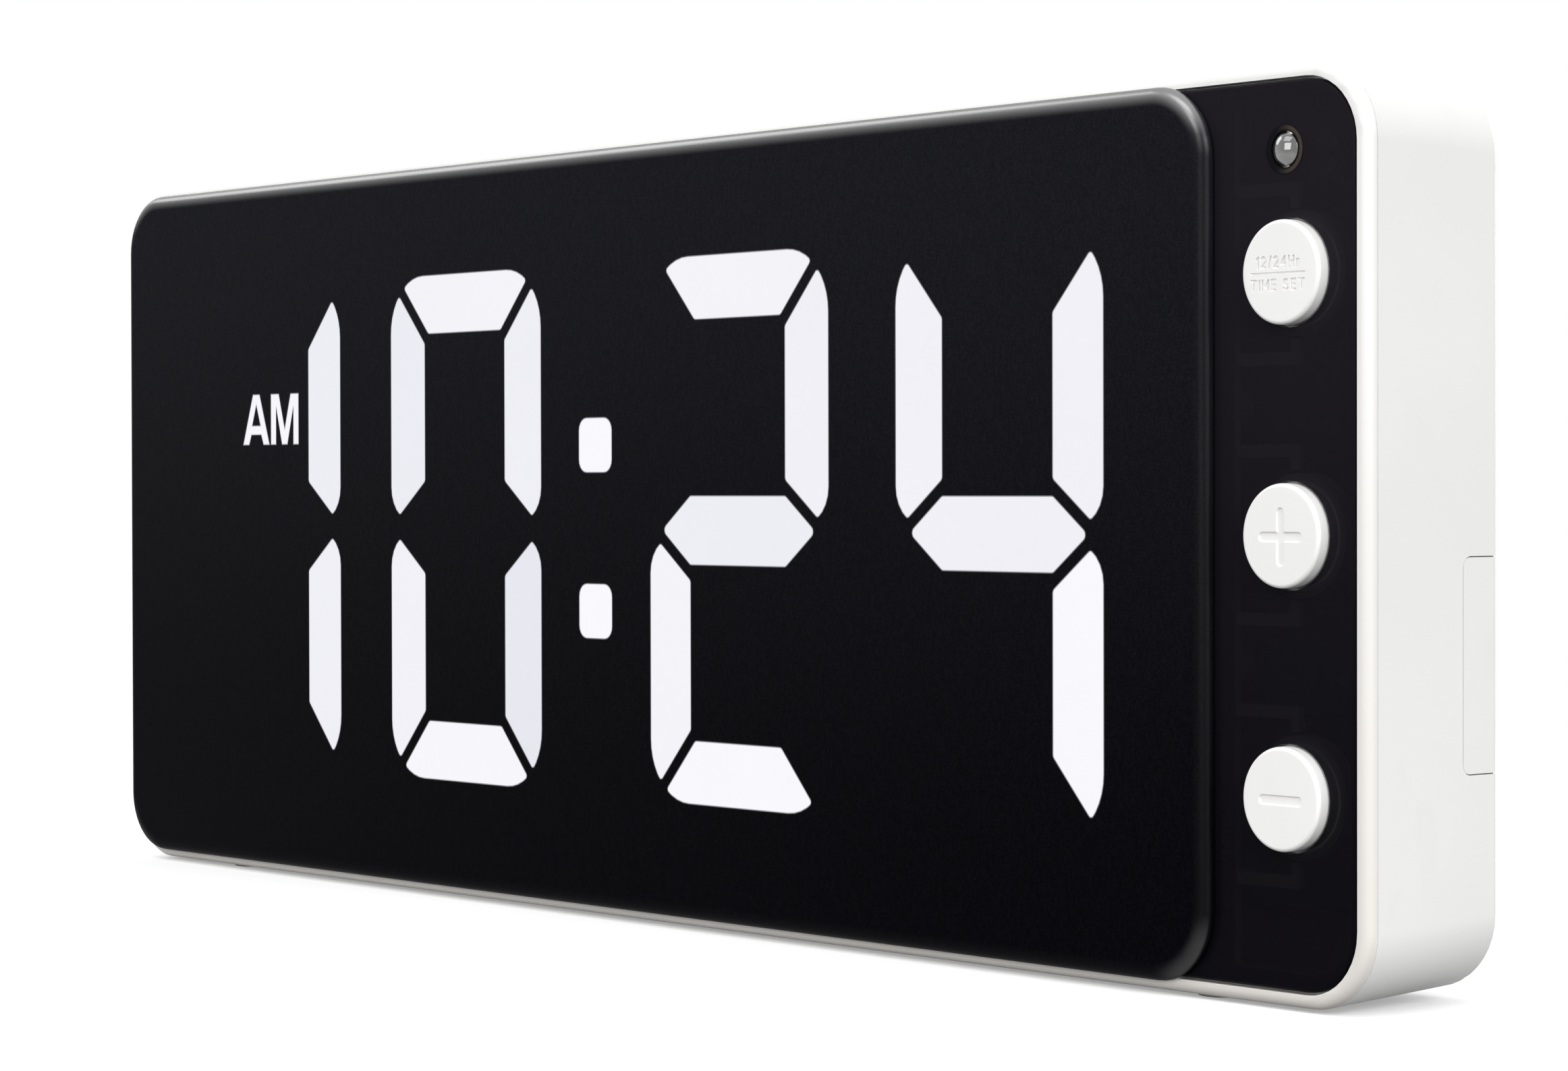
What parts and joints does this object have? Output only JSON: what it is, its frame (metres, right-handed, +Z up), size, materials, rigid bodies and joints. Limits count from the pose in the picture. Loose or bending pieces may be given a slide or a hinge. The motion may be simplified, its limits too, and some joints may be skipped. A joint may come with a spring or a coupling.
{
  "type": "alarm clock",
  "caption": "Slim white-cased digital alarm clock: smoked seven-segment display, round push buttons in a strip at its right, sliding battery door on the back.",
  "frame": {"origin": "middle of the bounding box's underside, on the surface that the feet stand on", "axes": "+X to the right as the time is read, +Y from the display to the back, +Z up"},
  "size_m": [0.2768, 0.0256, 0.1112],
  "materials": {
    "white_case": "fine moulded texture",
    "white_button": "fine moulded texture",
    "lens_black": "smoked, satin sheen",
    "panel_smoke": "smoked, polished",
    "light_box_white": "matt",
    "film_print": "printed",
    "board_green": "solder mask",
    "chip_black": "moulded",
    "clear_epoxy": "clear",
    "steel": "plated",
    "bright_tin": "tin plated",
    "cell_jacket": "printed jacket",
    "foot_rubber": "matt",
    "wire_red": "insulation",
    "wire_black": "insulation",
    "ribbon_grey": "insulation"
  },
  "bodies": {
    "case": {"front_bezel": "white_case", "rear_case": "white_case", "display_lens": "lens_black", "segment_film": "film_print", "segment_reflector": "light_box_white", "display_board": "board_green", "control_panel": "panel_smoke", "button_springs": "white_button", "light_sensor": "clear_epoxy", "control_board": "board_green", "alarm_set_switch": "chip_black", "alarm_slide_switch": "steel", "buzzer": "chip_black", "clock_chip": "chip_black", "quartz_crystal": "bright_tin", "capacitor": "cell_jacket", "board_ribbon": "ribbon_grey", "contact_positive": "bright_tin", "contact_negative": "bright_tin", "contact_bridge": "bright_tin", "spring_left": "steel", "spring_right": "steel", "lead_positive": "wire_red", "lead_negative": "wire_black", "switch_upper": "chip_black", "switch_middle": "chip_black", "switch_lower": "chip_black", "cell_upper_left": "cell_jacket", "cell_upper_right": "cell_jacket", "cell_lower_left": "cell_jacket", "cell_lower_right": "cell_jacket", "foot_left_front": "foot_rubber", "foot_left_rear": "foot_rubber", "foot_right_front": "foot_rubber", "foot_right_rear": "foot_rubber", "case_screw_bottom_left": "steel", "case_screw_bottom_middle": "steel", "case_screw_bottom_right": "steel", "case_screw_top_left": "steel", "case_screw_top_middle": "steel", "case_screw_top_right": "steel", "board_screw_bottom_left": "steel", "board_screw_bottom_right": "steel", "board_screw_top_left": "steel", "board_screw_top_right": "steel", "control_screw_bottom": "steel", "control_screw_top": "steel"},
    "time_set_button": {"time_set_button": "white_button", "switch_plunger_upper": "bright_tin"},
    "plus_button": {"plus_button": "white_button", "switch_plunger_middle": "bright_tin"},
    "minus_button": {"minus_button": "white_button", "switch_plunger_lower": "bright_tin"},
    "alarm_set_button": {"alarm_set_button": "white_button", "alarm_set_plunger": "bright_tin"},
    "alarm_switch_knob": {"alarm_switch_knob": "white_button"},
    "battery_door": {"battery_door": "white_case"}
  },
  "joints": [
    {"name": "time_set_button_travel", "type": "slide", "parent": "case", "child": "time_set_button", "axis": [0, 1, 0], "range_m": [0, 0.0005], "stiffness_N_per_m": 600},
    {"name": "plus_button_travel", "type": "slide", "parent": "case", "child": "plus_button", "axis": [0, 1, 0], "range_m": [0, 0.0005], "stiffness_N_per_m": 600},
    {"name": "minus_button_travel", "type": "slide", "parent": "case", "child": "minus_button", "axis": [0, 1, 0], "range_m": [0, 0.0005], "stiffness_N_per_m": 600},
    {"name": "alarm_set_button_travel", "type": "slide", "parent": "case", "child": "alarm_set_button", "axis": [0, -1, 0], "range_m": [0, 0.0005], "stiffness_N_per_m": 600},
    {"name": "alarm_switch_knob_travel", "type": "slide", "parent": "case", "child": "alarm_switch_knob", "axis": [1, 0, 0], "range_m": [0, 0.003]},
    {"name": "battery_door_slide", "type": "slide", "parent": "case", "child": "battery_door", "axis": [1, 0, 0], "range_m": [0, 0.004]}
  ]
}
